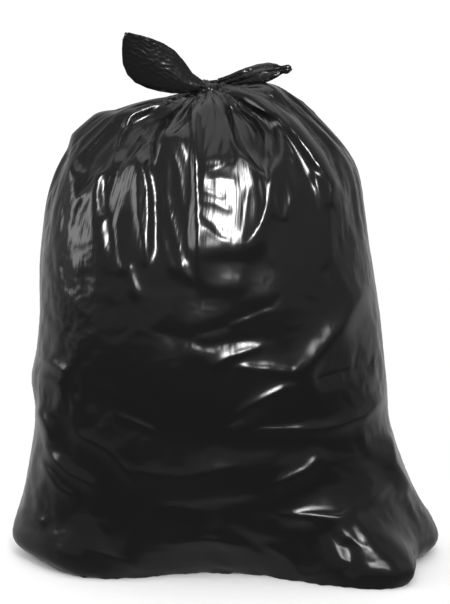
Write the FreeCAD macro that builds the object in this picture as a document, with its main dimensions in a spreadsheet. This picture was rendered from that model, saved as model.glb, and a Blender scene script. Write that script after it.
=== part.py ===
"""Filled refuse bag of thin black film, its mouth tied in a half knot with two ears, as one closed solid.

Millimetres. +Z is up and the bag stands on z = 0. The front faces -Y and +X is to the right.
The origin is under the middle of the bag's outer box.
"""
import FreeCAD, Part
import math
import os

Vector = FreeCAD.Vector
UP = Vector(0, 0, 1)

doc = FreeCAD.newDocument("tied_bin_bag")
sheet = doc.addObject("Spreadsheet::Sheet", "sizes")

# Stations from the floor up to the throat under the knot. Each has its level as a share of the filled
# height, its reach from the neck's axis to the left and right as shares of the waist's width, and its reach
# to the front and back as shares of the waist's depth.
STATION_PARTS = ("level", "left", "right", "front", "back")
STATIONS = {
    "foot": (0.0, 0.505, 0.600, 0.350, 0.365),
    "hem": (0.024, 0.565, 0.645, 0.390, 0.415),
    "skirt": (0.090, 0.555, 0.620, 0.425, 0.455),
    "flank": (0.195, 0.535, 0.580, 0.460, 0.480),
    "haunch": (0.300, 0.510, 0.530, 0.485, 0.495),
    "belly": (0.390, 0.510, 0.520, 0.495, 0.510),
    "waist": (0.520, 0.495, 0.505, 0.495, 0.505),
    "chest": (0.655, 0.485, 0.475, 0.480, 0.480),
    "breast": (0.760, 0.462, 0.453, 0.450, 0.450),
    "shoulder": (0.845, 0.427, 0.430, 0.400, 0.400),
    "crown": (0.915, 0.352, 0.362, 0.320, 0.325),
    "collar": (0.966, 0.247, 0.278, 0.215, 0.230),
    "ruff": (0.991, 0.125, 0.174, 0.110, 0.127),
    "neck": (1.0, 0.045, 0.048, 0.052, 0.055),
    "throat": (1.02, 0.028, 0.028, 0.033, 0.033),
}

# Bulges stand out of the film: direction round the neck's axis in degrees (0 right, 90 back, 270 front),
# level as a share of the filled height, half width in degrees, half height as a share of the filled height,
# and how far the film stands out as a share of the waist's depth.
BULGE_PARTS = ("turn", "level", "spread", "tall", "out")
BULGES = {
    "right_corner": (358, 0.025, 13, 0.092, 0.066),
    "left_corner": (181, 0.036, 12, 0.075, 0.033),
    "front_right_lobe": (324, 0.0, 15, 0.110, 0.355),
    "front_left_lobe": (220, 0.0, 19, 0.095, 0.125),
    "front_tuck": (272, 0.0, 20, 0.083, -0.020),
    "back_right_lobe": (52, 0.0, 20, 0.104, 0.094),
    "back_left_lobe": (132, 0.0, 18, 0.098, 0.088),
    "belly_lump": (252, 0.490, 34, 0.164, 0.028),
    "side_lump": (16, 0.352, 20, 0.060, 0.022),
    "left_side_lump": (178, 0.390, 18, 0.036, 0.022),
    "back_lump": (98, 0.447, 36, 0.180, 0.028),
    "right_shoulder_fold": (4, 0.996, 34, 0.030, 0.050),
}

# Pleats gathered at the neck: the valley on the pleat's clockwise side in degrees, its depth as a share of
# the usual depth, and the level down to which it runs. The valleys on the front are placed by eye, and those
# on the back are spread evenly.
FRONT_PLEATS = [
    (190, 0.60, 0.74),
    (204, 0.70, 0.76),
    (219, 0.70, 0.80),
    (234, 0.75, 0.82),
    (248, 0.75, 0.84),
    (263, 0.70, 0.86),
    (283, 0.75, 0.84),
    (296, 0.80, 0.82),
    (313, 0.80, 0.80),
    (333, 0.75, 0.76),
    (352, 0.60, 0.74),
]
BACK_PLEATS = 9
BACK_PLEAT_DEPTHS = (0.9, 1.1)
BACK_PLEAT_LOW_ENDS = (0.52, 0.61, 0.70)
# Points across one pleat, from its valley over its ridge: share of the width, and height from -1 to 1.
PLEAT_SHAPE = ((0.0, -1.0), (0.24, 0.25), (0.5, 1.0), (0.76, 0.25))
ROWS_PER_STATION = 2

# Main folds of the front film, on a chart of the bag seen from in front and a little above. Its steps run to
# the right and down. Each fold has its height as a share of the usual one (under 0 is a valley), its half
# width in steps, and the chart points that it runs through.
FRONT_FOLDS = {
    "panel_edge_ridge": (0.7, 9, ((191, 100), (195, 135), (197, 166), (199, 202), (200, 249), (203, 288))),
    "panel_edge_valley": (-0.8, 8, ((186, 104), (183, 140), (186, 180), (188, 225), (189, 265))),
    "left_valley": (-1.0, 9, ((162, 111), (143, 128), (129, 147), (117, 166), (110, 192), (105, 228))),
    "left_ridge": (0.8, 8, ((176, 104), (156, 125), (140, 150), (132, 180), (128, 215), (131, 262))),
    "inner_left_valley": (-0.9, 7, ((182, 106), (165, 122), (152, 145), (150, 185), (154, 225), (156, 262))),
    "inner_left_ridge": (0.8, 7, ((185, 112), (172, 135), (167, 165), (167, 192), (171, 225), (180, 262), (192, 286))),
    "left_shoulder_ridge": (0.7, 9, ((178, 98), (136, 107), (105, 121), (81, 143), (66, 180))),
    "left_shoulder_valley": (-0.7, 8, ((172, 106), (124, 127), (97, 155), (80, 200), (74, 240))),
    "panel_right_valley": (-0.8, 8, ((226, 98), (238, 120), (248, 145), (257, 165))),
    "bib_ridge": (0.6, 8, ((240, 148), (256, 168), (264, 195), (262, 222), (250, 240), (233, 248))),
    "right_valley": (-1.2, 8, ((238, 102), (258, 118), (267, 135), (270, 175), (270, 215))),
    "right_ridge": (0.9, 8, ((246, 106), (270, 124), (282, 147), (281, 178), (278, 205), (286, 226))),
    "right_shoulder_valley": (-0.9, 8, ((254, 106), (282, 125), (300, 148), (310, 175), (320, 205))),
    "right_shoulder_ridge": (1.0, 8, ((250, 98), (288, 112), (313, 138), (329, 165), (335, 195), (336, 225))),
    "right_outer_valley": (-0.6, 8, ((268, 99), (306, 113), (333, 150), (348, 190), (354, 230))),
    "tension_ridge": (0.6, 10, ((177, 342), (218, 331), (270, 308), (292, 286))),
    "tension_valley": (-0.5, 11, ((187, 360), (228, 349), (280, 330))),
    "centre_ridge": (0.5, 10, ((222, 430), (246, 408), (284, 389), (305, 384))),
    "waist_valley": (-0.6, 12, ((65, 376), (111, 406), (163, 432), (235, 441), (317, 434), (353, 428), (386, 410))),
    "flank_ridge": (0.8, 12, ((299, 378), (314, 359), (339, 329), (366, 285))),
    "flank_low_ridge": (0.5, 9, ((325, 426), (364, 414), (386, 394))),
    "thigh_ridge": (0.5, 10, ((266, 486), (306, 469), (328, 448))),
    "skirt_ridge": (0.6, 10, ((273, 513), (342, 515), (364, 499), (391, 482))),
    "skirt_valley": (-0.4, 10, ((296, 530), (345, 534), (382, 510))),
    "left_flank_ridge": (0.6, 9, ((37, 404), (48, 428), (54, 450))),
    "left_skirt_ridge": (0.6, 9, ((40, 458), (59, 488), (82, 500))),
    "right_skirt_ridge": (0.6, 9, ((388, 430), (396, 462), (413, 492))),
    "foot_valley": (-0.5, 12, ((300, 522), (304, 545), (308, 578))),
}

# The ears' outlines: share of the length, then the reach above and below the ear's own axis as shares of its
# width, and half its thickness there as a share of its thickness.
LEFT_EAR_OUTLINE = (
    (0.0, 0.10, 0.17, 0.35),
    (0.14, 0.18, 0.32, 0.44),
    (0.28, 0.36, 0.41, 0.49),
    (0.42, 0.50, 0.47, 0.50),
    (0.56, 0.56, 0.50, 0.45),
    (0.70, 0.57, 0.48, 0.36),
    (0.81, 0.56, 0.38, 0.27),
    (0.90, 0.54, 0.19, 0.18),
    (0.96, 0.53, -0.08, 0.12),
    (1.0, 0.50, -0.34, 0.12),
)
RIGHT_EAR_OUTLINE = (
    (0.0, 0.22, 0.22, 0.35),
    (0.18, 0.30, 0.28, 0.46),
    (0.38, 0.46, 0.34, 0.50),
    (0.56, 0.57, 0.43, 0.45),
    (0.69, 0.56, 0.38, 0.37),
    (0.80, 0.42, 0.28, 0.28),
    (0.88, 0.24, 0.14, 0.20),
    (0.93, 0.26, 0.24, 0.28),
    (0.97, 0.25, 0.20, 0.26),
    (1.0, 0.12, 0.08, 0.12),
)
# The film bundles wound through the knot, as shares of the knot's size from its centre.
LEFT_STRAND = ((0.3, 0.2, -0.9), (0.55, -0.5, -0.3), (0.1, -0.85, 0.25), (-0.6, -0.6, 0.5))
RIGHT_STRAND = ((-0.3, -0.2, -0.9), (-0.55, 0.5, -0.3), (-0.1, 0.8, 0.3), (0.6, 0.5, 0.55))
EAR_RING_POINTS = 12
KNOT_BAND_AXIS = Vector(1, 0.35, 0.25)
aliases = []


def put(alias, value, note):
    """Writes one size into the sheet's next row under its own name."""
    aliases.append(alias)
    sheet.set("A%d" % len(aliases), note)
    sheet.set("B%d" % len(aliases), repr(value))
    sheet.setAlias("B%d" % len(aliases), alias)


for name, values in STATIONS.items():
    for part, value in zip(STATION_PARTS, values):
        put("%s_%s" % (name, part), value, "%s station, %s" % (name, part))
for name, values in BULGES.items():
    for part, value in zip(BULGE_PARTS, values):
        put("%s_%s" % (name, part), value, "%s, %s" % (name.replace("_", " "), part))
put("waist_width", 495, "width of the filled bag at its waist")
put("waist_depth", 362, "depth of the filled bag at its waist")
put("filled_height", 671, "height of the filled bag, from the floor to its neck")
put("plan_power", 2.35, "squareness of the filled body in plan, where 2 is an ellipse")
put("pleat_depth", 20, "usual depth of a pleat, from its ridge to its valley")
put("pleat_full_reach", 120, "distance from the neck's axis within which a pleat gets shallower")
put("pleat_growth", 1.35, "depth that a pleat would reach at the neck, as a share of its own")
put("fold_height", 10, "usual height of a fold of the front film")
put("fold_end", 0.2, "share of a fold over which it rises to its height at each end")
put("chart_step", 1.457, "one step of the chart of the front folds, at the neck's axis")
put("chart_axis", 208, "chart step on which the neck's axis stands")
put("chart_level", 300, "chart step down at the chart's own level")
put("chart_height", 375, "height of the chart's own level")
put("chart_distance", 2400, "distance from which the chart sees the bag")
put("chart_rise", 8, "how far above level the chart sees the bag from, in degrees")
put("knot_size", 18, "half width of the knot")
put("knot_rise", 5, "knot's centre above the neck station")
put("knot_band_reach", 10, "from the knot's centre to the middle of the band wound over it")
put("knot_band_radius", 6, "half thickness of the band wound over the knot")
put("bundle_radius", 7.5, "film bundle wound through the knot")
put("left_ear_length", 138, "left ear, from the knot to its upper tip")
put("left_ear_lift", 20.5, "left ear's rise above level, in degrees")
put("left_ear_swing", 10, "left ear's swing to the front, in degrees")
put("left_ear_width", 64, "left ear, across its widest place")
put("left_ear_thickness", 16, "left ear, thickest place")
put("right_ear_length", 117, "right ear, from the knot to its curled tip")
put("right_ear_lift", 12.5, "right ear's rise above level, in degrees")
put("right_ear_swing", 12, "right ear's swing to the front, in degrees")
put("right_ear_width", 32, "right ear, across its widest place")
put("right_ear_thickness", 15, "right ear, thickest place")
doc.recompute()


SIZES = {alias: float(sheet.get(alias)) for alias in aliases}


def size(alias):
    """A size from the sheet, as a plain number."""
    return SIZES[alias]


def bump(offset, spread):
    """A smooth hump of height 1 at offset 0."""
    return math.exp(-((offset / spread) ** 2))


def turn_between(a, b):
    """The smaller angle between two directions, in degrees."""
    return abs((a - b + 180) % 360 - 180)


def station_rows():
    """Each station as its height and its four reaches."""
    width, depth = size("waist_width"), size("waist_depth")
    wholes = (size("filled_height"), width, width, depth, depth)
    rows = []
    for name in STATIONS:
        rows.append([size("%s_%s" % (name, part)) * whole for part, whole in zip(STATION_PARTS, wholes)])
    return rows


def smooth_rows(rows):
    """The stations with rows between them, on a curve through every station."""
    made = []
    for i in range(len(rows) - 1):
        before, here, after, beyond = (rows[min(max(i + k, 0), len(rows) - 1)] for k in (-1, 0, 1, 2))
        for step in range(ROWS_PER_STATION):
            s = step / ROWS_PER_STATION
            blend = (2 * s**3 - 3 * s**2 + 1, s**3 - 2 * s**2 + s, -2 * s**3 + 3 * s**2, s**3 - s**2)
            row = []
            for a, b, c, d in zip(before, here, after, beyond):
                row.append(blend[0] * b + blend[1] * (c - a) / 2 + blend[2] * c + blend[3] * (d - b) / 2)
            made.append(row)
    made.append(list(rows[-1]))
    return made


def all_pleats():
    """The pleats in order round the neck: valley direction, depth and lower end."""
    first_valley = FRONT_PLEATS[0][0]
    last_valley = FRONT_PLEATS[-1][0]
    step = (first_valley + 360 - last_valley) / (BACK_PLEATS + 1)
    back = []
    for k in range(1, BACK_PLEATS + 1):
        depth = BACK_PLEAT_DEPTHS[k % len(BACK_PLEAT_DEPTHS)]
        low_end = BACK_PLEAT_LOW_ENDS[k % len(BACK_PLEAT_LOW_ENDS)]
        back.append(((last_valley + k * step) % 360, depth, low_end))
    pleats = []
    for valley, depth, low_end in sorted(FRONT_PLEATS + back):
        pleats.append((valley, depth * size("pleat_depth"), low_end * size("filled_height")))
    return pleats


def pleat_columns():
    """Directions of the film's columns, each with its height in its pleat and that pleat's depth and low end."""
    pleats = all_pleats()
    columns = []
    for k, (valley, depth, low_end) in enumerate(pleats):
        width = (pleats[(k + 1) % len(pleats)][0] - valley) % 360
        for share, level in PLEAT_SHAPE:
            columns.append((valley + share * width, level, depth, low_end))
    return columns


def plan_radius(degrees, row):
    """Distance from the axis to the film: a squared ellipse with its own reach on each side."""
    left, right, front, back = row[1:]
    power = size("plan_power")
    across, along = math.cos(math.radians(degrees)), math.sin(math.radians(degrees))
    side = right if across > 0 else left
    end = back if along > 0 else front
    return ((abs(across) / side) ** power + (abs(along) / end) ** power) ** (-1 / power)


def bulge_out(degrees, height):
    """How far all the bulges together push the film out at one place."""
    level = height / size("filled_height")
    out = 0
    for name in BULGES:
        across = bump(turn_between(degrees, size(name + "_turn")), size(name + "_spread"))
        out += size(name + "_out") * across * bump(level - size(name + "_level"), size(name + "_tall"))
    return out * size("waist_depth")


def pleat_out(level, depth, low_end, height, radius, neck_height):
    """How far a pleat moves the film at one place: out on its ridge and in at its valley."""
    if height <= low_end:
        return 0
    growth = min(1.0, size("pleat_growth") * (height - low_end) / (neck_height - low_end))
    near_neck = min(1.0, radius / size("pleat_full_reach"))
    return depth / 2 * level * growth * near_neck


def on_chart(point):
    """Where a point of the film falls on the chart of the front folds, to the right and down."""
    rise = math.radians(size("chart_rise"))
    over = point.z - size("chart_height")
    ahead = over * math.sin(rise) - point.y * math.cos(rise)
    up = over * math.cos(rise) + point.y * math.sin(rise)
    scale = size("chart_distance") / (size("chart_distance") - ahead) / size("chart_step")
    return size("chart_axis") + point.x * scale, size("chart_level") - up * scale


def run_along(line, across, down):
    """A chart point's distance from a fold's line, and how far along the line it is, from 0 to 1."""
    nearest, run, walked = None, 0, 0
    for (x, y), (to_x, to_y) in zip(line, line[1:]):
        length = math.hypot(to_x - x, to_y - y)
        share = ((across - x) * (to_x - x) + (down - y) * (to_y - y)) / length**2
        share = min(max(share, 0), 1)
        gap = math.hypot(across - x - share * (to_x - x), down - y - share * (to_y - y))
        if nearest is None or gap < nearest:
            nearest, run = gap, walked + share * length
        walked += length
    return nearest, run / walked


def fold_out(point):
    """How far the front folds together push the film out at one place."""
    front = min(1, max(0, -2 * point.y / math.hypot(point.x, point.y)))
    across, down = on_chart(point)
    out = 0
    for height, half_width, line in FRONT_FOLDS.values():
        gap, run = run_along(line, across, down)
        rise = min(1, min(run, 1 - run) / size("fold_end"))
        out += height * rise * bump(gap, half_width)
    near_neck = min(1, math.hypot(point.x, point.y) / size("pleat_full_reach"))
    return out * front * near_neck**2 * size("fold_height")


def film_rings():
    """The film of the filled body as rings of points, from the foot to the throat in the knot."""
    stations = station_rows()
    neck_height = stations[-2][0]
    rows = smooth_rows(stations)
    columns = pleat_columns()
    rings = []
    for i, row in enumerate(rows):
        below, above = rows[max(i - 1, 0)], rows[min(i + 1, len(rows) - 1)]
        on_edge = i in (0, len(rows) - 1)
        ring = []
        for degrees, level, depth, low_end in columns:
            radius = plan_radius(degrees, row)
            inward_run = plan_radius(degrees, below) - plan_radius(degrees, above)
            climb = above[0] - below[0]
            slope = math.hypot(inward_run, climb)
            out = bulge_out(degrees, row[0])
            out += pleat_out(level, depth, low_end, row[0], radius, neck_height)
            upward = 0 if on_edge else max(0.0, inward_run / slope)
            turn = math.radians(degrees)
            ahead = Vector(math.cos(turn), math.sin(turn), 0)
            out += fold_out(ahead * (radius + out) + UP * row[0])
            ring.append(ahead * (radius + out * math.sqrt(1 - upward**2)) + UP * (row[0] + out * upward))
        rings.append(ring)
    return rings


def faceted_solid(rings):
    """A closed solid of flat facets through rings of equally many points, with a flat face on each end."""
    around = len(rings[0])
    points = [point for ring in rings for point in ring]
    facets = []
    for j in range(len(rings) - 1):
        for i in range(around):
            a, b = j * around + i, j * around + (i + 1) % around
            c, d = a + around, b + around
            if (i + j) % 2:
                facets += [(a, b, c), (b, d, c)]
            else:
                facets += [(a, b, d), (a, d, c)]
    side = Part.Shape()
    side.makeShapeFromMesh((points, facets), 0.001)
    ends = [Part.Face(Part.makePolygon(ring + ring[:1])) for ring in (rings[0], rings[-1])]
    shell = Part.makeShell(side.Faces + ends)
    shell.sewShape()
    solid = Part.makeSolid(shell)
    if solid.Volume < 0:
        solid.reverse()
    return solid


def direction_out(side, lift, swing):
    """The way an ear points: to one side (-1 left, 1 right), lifted from level and swung to the front."""
    level = math.cos(math.radians(lift))
    turn = math.radians(swing)
    return Vector(side * level * math.cos(turn), -level * math.sin(turn), math.sin(math.radians(lift)))


def bundle_ring(centre, along, above, below, half_thickness):
    """A flattened ring of points square to the bundle's direction, with its own reach above and below."""
    flat = UP.cross(along)
    flat.normalize()
    rise = along.cross(flat)
    ring = []
    for k in range(EAR_RING_POINTS):
        turn = 2 * math.pi * k / EAR_RING_POINTS
        height = (above - below) / 2 + (above + below) / 2 * math.sin(turn)
        ring.append(centre + rise * height + flat * (half_thickness * math.cos(turn)))
    return ring


def knot_centre():
    """The knot's centre, over the neck station on the neck's axis."""
    return Vector(0, 0, station_rows()[-2][0] + size("knot_rise"))


def ear_solid(side_name, side, strand, outline):
    """One ear with the film bundle that comes up through the knot to it."""
    knot = knot_centre()
    along = direction_out(side, size(side_name + "_lift"), size(side_name + "_swing"))
    radius = size("bundle_radius")
    path = [knot + Vector(*point) * size("knot_size") for point in strand]
    root = path[-1] + along * radius
    rings = []
    for k, point in enumerate(path):
        ahead = path[k + 1] if k + 1 < len(path) else root
        behind = path[max(k - 1, 0)]
        heading = ahead - behind
        heading.normalize()
        rings.append(bundle_ring(point, heading, radius, radius, radius))
    length, width = size(side_name + "_length"), size(side_name + "_width")
    thick = size(side_name + "_thickness")
    for share, above, below, half in outline:
        centre = root + along * (share * (length - radius))
        rings.append(bundle_ring(centre, along, above * width, below * width, half * thick))
    return faceted_solid(rings)


def knot_band(neck_axis):
    """The band of film that is wound over the two bundles."""
    band = doc.addObject("Part::Torus", "knot_band")
    band.Label = "knot_band"
    band.setExpression("Radius1", "sizes.knot_band_reach")
    band.setExpression("Radius2", "sizes.knot_band_radius")
    band.Placement = FreeCAD.Placement(neck_axis + knot_centre(), FreeCAD.Rotation(UP, KNOT_BAND_AXIS))
    return band


def held(label, shape, neck_axis):
    """A document object that holds one shape, moved from the neck's axis to its place in the bag."""
    if shape.isNull() or not shape.isValid():
        raise RuntimeError(label + " has no valid shape")
    feature = doc.addObject("Part::Feature", label)
    feature.Label = label
    feature.Shape = shape
    feature.Placement = FreeCAD.Placement(neck_axis, FreeCAD.Rotation())
    return feature


film = faceted_solid(film_rings())
middle = film.BoundBox.Center
neck_axis = Vector(-middle.x, -middle.y, 0)
pieces = [
    held("film_body", film, neck_axis),
    held("left_ear_film", ear_solid("left_ear", -1, LEFT_STRAND, LEFT_EAR_OUTLINE), neck_axis),
    held("right_ear_film", ear_solid("right_ear", 1, RIGHT_STRAND, RIGHT_EAR_OUTLINE), neck_axis),
    knot_band(neck_axis),
]
bag = doc.addObject("Part::MultiFuse", "tied_bin_bag")
bag.Label = "tied_bin_bag"
bag.Shapes = pieces
bag.Refine = False
doc.recompute()

for thing in doc.Objects:
    if "Invalid" in thing.State or "Error" in thing.State:
        raise RuntimeError(thing.Label + " failed")
if bag.Shape.isNull() or not bag.Shape.isValid() or len(bag.Shape.Solids) != 1:
    raise RuntimeError("the bag isn't one valid solid")

os.makedirs("parts", exist_ok=True)
bag.Shape.exportStep("parts/tied_bin_bag.step")
box = bag.Shape.BoundBox
print("neck axis", round(neck_axis.x, 2), round(neck_axis.y, 2))
print("bag", round(bag.Shape.Volume / 1e6, 2), "litres", len(bag.Shape.Faces), "faces")
print("box", [round(v, 2) for v in (box.XMin, box.XMax, box.YMin, box.YMax, box.ZMin, box.ZMax)])
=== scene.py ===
"""Dresses a tied refuse bag: its wrinkled black film, the knot and the two ears, on a pale floor."""
import logging
import math
import time
from dataclasses import dataclass, field, replace
from enum import Enum

import bmesh
import bpy
import numpy as np
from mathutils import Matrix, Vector
from mathutils.bvhtree import BVHTree


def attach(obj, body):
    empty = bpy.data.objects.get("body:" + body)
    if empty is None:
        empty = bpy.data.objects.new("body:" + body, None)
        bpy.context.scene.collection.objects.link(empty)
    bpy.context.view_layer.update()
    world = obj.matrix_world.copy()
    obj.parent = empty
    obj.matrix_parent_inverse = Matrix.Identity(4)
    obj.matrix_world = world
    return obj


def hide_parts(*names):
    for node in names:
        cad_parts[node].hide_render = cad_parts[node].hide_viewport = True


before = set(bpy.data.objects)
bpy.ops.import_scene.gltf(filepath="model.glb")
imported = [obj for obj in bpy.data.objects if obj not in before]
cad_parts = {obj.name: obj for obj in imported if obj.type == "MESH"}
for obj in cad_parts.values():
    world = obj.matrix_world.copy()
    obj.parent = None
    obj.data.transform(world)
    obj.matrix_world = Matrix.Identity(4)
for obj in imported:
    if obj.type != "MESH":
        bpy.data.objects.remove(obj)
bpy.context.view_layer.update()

NODE = "tied_bin_bag"
BODY = "root"
SAME_POINT = 1e-5
TINY = 1e-9
EDGE_ON = 0.02
EDGE_FADE = 0.2
Socket = bpy.types.NodeSocket
log = logging.getLogger("refuse_bag")


class Fold(Enum):
    """How the film stands at a crease."""

    VALLEY = "valley"
    RIDGE = "ridge"
    LAP = "lap"


@dataclass(frozen=True)
class Crease:
    """A crease of the front film, along a line given in the photograph's pixels.

    Attributes:
        line: the crease's points, in pixels of the 450 by 604 frame.
        kind: valley, ridge or lap, where a lap stands up on its line and falls away to the line's right.
        width: half width of the fold in pixels.
        height: how far the film moves, in metres. A lap with a height under 0 falls away to the other side.
        open_start: how much of its height the crease has at its first point.
        taper: how many times its ends' fade goes into its length.
        steep: how many times steeper a lap is on the side that it stands up from.
        tail: sideways reach of the crease, in tail runs.
        tail_run: how long that run is, in half widths.
    """

    line: tuple
    kind: Fold
    width: float
    height: float
    open_start: float = 0.0
    taper: float = 5.0
    steep: float = 5.0
    tail: float = 1.6
    tail_run: float = 3.0


CREASES = tuple(Crease(*row) for row in (
    (((190, 97), (193, 131), (195, 166), (197, 202), (197, 249), (199, 284)), Fold.LAP, 9, 0.010),
    (((162, 111), (143, 128), (129, 147), (117, 166), (110, 192), (105, 215)), Fold.VALLEY, 6, 0.014),
    (((184, 100), (160, 118), (150, 140), (149, 165), (154, 192), (155, 225), (151, 268)),
     Fold.VALLEY, 4, 0.010),
    (((137, 165), (138, 211), (148, 268)), Fold.RIDGE, 3, 0.006),
    (((171, 145), (168, 160), (165, 192), (169, 211)), Fold.RIDGE, 3, 0.005),
    (((171, 145), (179, 173), (182, 204), (169, 211)), Fold.RIDGE, 3, 0.005),
    (((167, 192), (168, 211), (176, 239), (183, 272), (194, 283)), Fold.RIDGE, 3, 0.007),
    (((163, 216), (162, 239), (169, 261), (178, 275)), Fold.RIDGE, 3, 0.006),
    (((121, 205), (117, 225), (120, 255), (126, 276)), Fold.RIDGE, 3, 0.005),
    (((126, 258), (131, 280), (138, 300)), Fold.RIDGE, 3, 0.005),
    (((181, 93), (136, 105), (105, 119), (81, 140), (65, 180)), Fold.LAP, 6, 0.003),
    (((170, 105), (120, 128), (95, 155), (78, 200)), Fold.VALLEY, 4, 0.006),
    (((176, 98), (112, 122), (81, 154), (65, 180)), Fold.RIDGE, 3, 0.004),
    (((240, 145), (252, 164), (262, 178), (266, 202), (262, 220), (254, 235), (245, 244), (233, 244)),
     Fold.RIDGE, 4, 0.008),
    (((249, 183), (245, 206), (243, 225), (242, 240)), Fold.VALLEY, 3, 0.005),
    (((199, 190), (212, 193), (226, 199)), Fold.VALLEY, 4, 0.003, 1.0),
    (((199, 201), (214, 203), (234, 212)), Fold.VALLEY, 3, 0.003, 1.0),
    (((200, 214), (214, 224), (226, 242)), Fold.VALLEY, 3, 0.003, 1.0),
    (((203, 182), (220, 178), (240, 182)), Fold.RIDGE, 5, 0.003),
    (((204, 172), (222, 166), (240, 150)), Fold.VALLEY, 4, 0.004),
    (((200, 224), (215, 236), (233, 244)), Fold.RIDGE, 3, 0.004),
    (((226, 95), (235, 117), (242, 138), (256, 164), (262, 176)), Fold.VALLEY, 5, 0.010),
    (((235, 102), (256, 117), (266, 131), (266, 173)), Fold.VALLEY, 5, 0.014),
    (((277, 153), (271, 173), (270, 192), (275, 213), (284, 222)), Fold.RIDGE, 4, 0.007),
    (((284, 222), (292, 199), (297, 192)), Fold.RIDGE, 4, 0.005),
    (((242, 102), (278, 117), (297, 138), (313, 161), (334, 187)), Fold.LAP, 7, 0.014),
    (((313, 171), (320, 194), (330, 209)), Fold.RIDGE, 3, 0.006),
    (((334, 178), (331, 206)), Fold.RIDGE, 3, 0.006),
    (((262, 96), (300, 112), (330, 150), (345, 190)), Fold.VALLEY, 6, 0.005),
    (((211, 93), (234, 89), (262, 88), (288, 97)), Fold.RIDGE, 9, 0.012, 0.8),
    (((177, 340), (218, 329), (270, 307), (284, 291)), Fold.VALLEY, 5, 0.004),
    (((209, 369), (229, 357), (264, 346)), Fold.RIDGE, 2, 0.005),
    (((224, 327), (248, 319), (273, 308)), Fold.RIDGE, 2, 0.004),
    (((150, 330), (205, 345), (262, 338)), Fold.VALLEY, 7, 0.004),
    (((120, 470), (180, 478), (240, 466)), Fold.RIDGE, 5, 0.004),
    (((70, 430), (110, 452), (140, 490)), Fold.RIDGE, 4, 0.004),
    (((150, 505), (210, 512), (262, 500)), Fold.VALLEY, 6, 0.004),
    (((165, 545), (205, 540), (250, 548)), Fold.RIDGE, 4, 0.005),
    (((225, 500), (215, 535), (222, 566)), Fold.VALLEY, 6, 0.005),
    (((345, 540), (352, 556), (350, 580)), Fold.VALLEY, 6, 0.006),
    (((232, 365), (268, 368), (295, 371), (301, 360)), Fold.LAP, 5, -0.005),
    (((224, 428), (246, 406), (284, 387), (301, 384)), Fold.LAP, 6, -0.007),
    (((235, 435), (262, 430), (317, 427), (353, 423)), Fold.LAP, 6, -0.008),
    (((65, 376), (111, 406), (163, 431), (218, 434), (257, 434), (312, 431)), Fold.VALLEY, 14, 0.006),
    (((114, 414), (139, 424), (161, 434)), Fold.RIDGE, 2, 0.006),
    (((268, 486), (306, 469), (325, 449)), Fold.LAP, 6, -0.006),
    (((273, 513), (342, 516), (364, 499), (391, 483)), Fold.LAP, 6, -0.006),
    (((301, 376), (314, 359), (339, 329), (366, 285)), Fold.RIDGE, 6, 0.007),
    (((306, 381), (353, 368), (377, 362)), Fold.VALLEY, 5, 0.006),
    (((325, 428), (364, 417), (386, 395)), Fold.RIDGE, 4, 0.006),
    (((40, 357), (62, 370), (68, 377)), Fold.RIDGE, 3, 0.004),
    (((37, 376), (65, 385)), Fold.RIDGE, 3, 0.004),
    (((37, 406), (48, 428), (51, 445)), Fold.RIDGE, 4, 0.006),
    (((40, 458), (59, 488), (79, 499)), Fold.RIDGE, 3, 0.005),
    (((46, 450), (68, 472), (103, 491)), Fold.RIDGE, 4, 0.006),
    (((16, 507), (26, 516), (48, 524)), Fold.RIDGE, 3, 0.004),
    (((390, 432), (396, 462), (413, 492)), Fold.LAP, 6, -0.007),
    (((300, 520), (304, 545), (308, 575)), Fold.VALLEY, 10, 0.008),
    (((80, 545), (120, 560), (150, 572)), Fold.RIDGE, 4, 0.004),
))


@dataclass(frozen=True)
class Panel:
    """A flat stretch of film, seen in the photograph.

    Attributes:
        middle: its middle, in pixels.
        reach: its half width and half height, in pixels.
        tilt: how far it looks above level, in degrees.
        turn: how far it looks to the right of the front, in degrees.
        flat: share of its own roundness that it loses.
        edge: where it ends, in reaches from its middle.
        blend: how wide its edge is, in reaches.
        corner: how square its corners are.
    """

    middle: tuple
    reach: tuple
    tilt: float
    turn: float
    flat: float
    edge: float = 1.25
    blend: float = 0.5
    corner: int = 4

    def press(self, grid: np.ndarray, seen: np.ndarray) -> np.ndarray:
        """Flattens the film's grid inside the panel. Seen gives its points in the photograph's pixels."""
        tilt, turn = math.radians(self.tilt), math.radians(self.turn)
        level = math.cos(tilt)
        face = np.array((level * math.sin(turn), -level * math.cos(turn), math.sin(tilt)))
        off = np.abs((seen - self.middle) / self.reach)
        away = (off**self.corner).sum(axis=1) ** (1 / self.corner)
        points = grid.reshape(-1, 3)
        share = np.where(points[:, 1] < 0, np.clip((self.edge - away) / self.blend, 0.0, 1.0), 0.0)
        share = (share * share * (3 - 2 * share))[:, None]
        middle = (points * share).sum(axis=0) / share.sum()
        gap = ((middle - points) @ face)[:, None]
        return (points + face * gap * share * self.flat).reshape(grid.shape)


PANELS = (
    Panel((228.0, 206.0), (35.0, 46.0), 21.4, 3.4, 0.72),
    Panel((222.0, 262.0), (24.0, 30.0), 15.0, 5.0, 0.22),
    Panel((94.0, 140.0), (22.0, 28.0), 34.0, -36.0, 0.6),
    Panel((214.0, 135.0), (17.0, 30.0), 42.0, 2.0, 0.5),
    Panel((172.0, 195.0), (17.0, 60.0), 14.0, -13.0, 0.85),
    Panel((130.0, 210.0), (23.0, 50.0), 14.0, -26.0, 0.7),
    Panel((300.0, 225.0), (32.0, 40.0), 10.0, 22.0, 0.6),
)


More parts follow.
